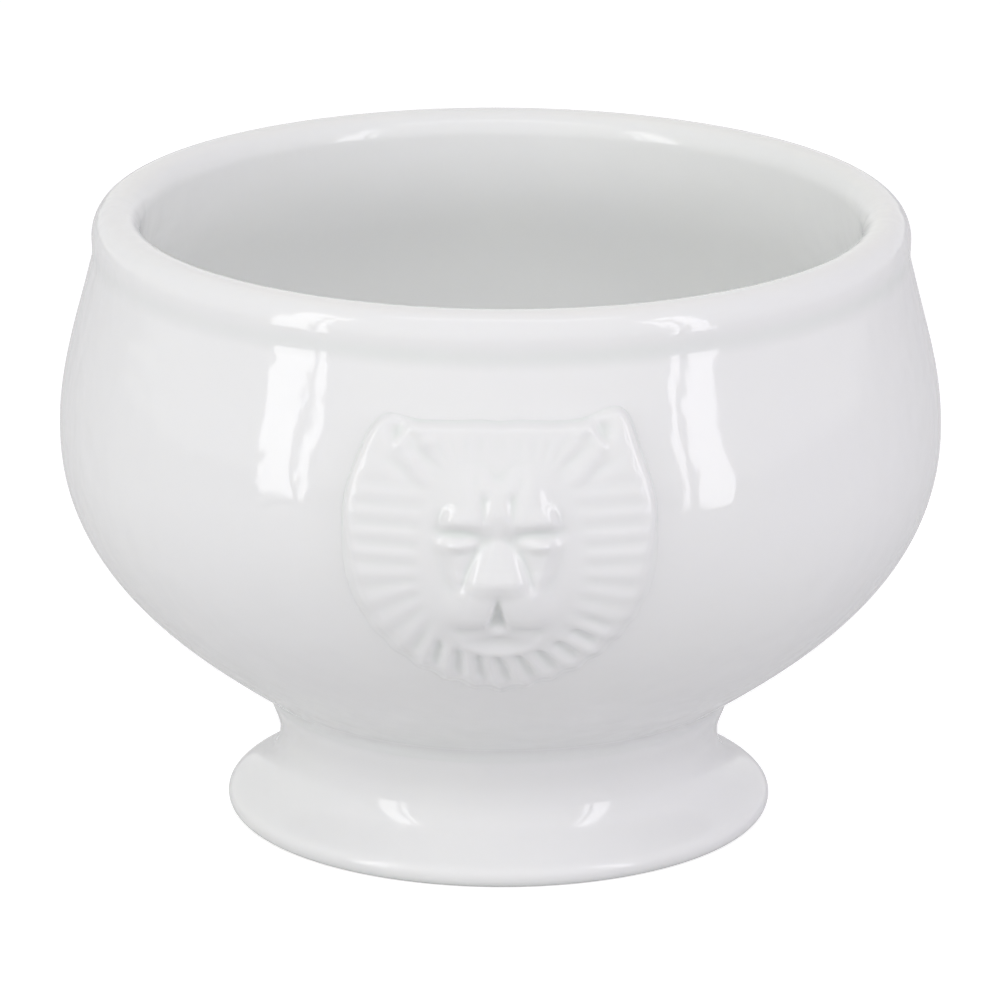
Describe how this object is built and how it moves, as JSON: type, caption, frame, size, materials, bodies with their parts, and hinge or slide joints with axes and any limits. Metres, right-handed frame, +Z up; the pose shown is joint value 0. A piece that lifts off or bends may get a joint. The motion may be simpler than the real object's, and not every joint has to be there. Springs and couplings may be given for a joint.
{
  "type": "footed soup bowl",
  "caption": "Round-bellied glazed porcelain soup bowl with a rolled lip, a hollow flared foot and low lion masks in relief on its front and back.",
  "frame": {"origin": "centre of the foot's standing ring, on the surface that the bowl stands on", "axes": "+Z up along the bowl's turning axis, -Y out of the front lion mask, +Y out of the rear one, +X to the right as the front mask is seen"},
  "size_m": [0.1295, 0.1394, 0.0915],
  "materials": {
    "bowl_glaze": "clear gloss glaze over white porcelain",
    "foot_glaze": "clear gloss glaze, bare and ground smooth on the standing ring",
    "mask_glaze": "clear gloss glaze, pooled in the hollows of the carving",
    "luting_slip": "fired white slip, matt where it is bare"
  },
  "bodies": {
    "root": {"bowl": "bowl_glaze", "foot": "foot_glaze", "foot_slip": "luting_slip", "front_lion_head": "mask_glaze", "rear_lion_head": "mask_glaze", "front_lion_slip": "luting_slip", "rear_lion_slip": "luting_slip"}
  },
  "joints": []
}
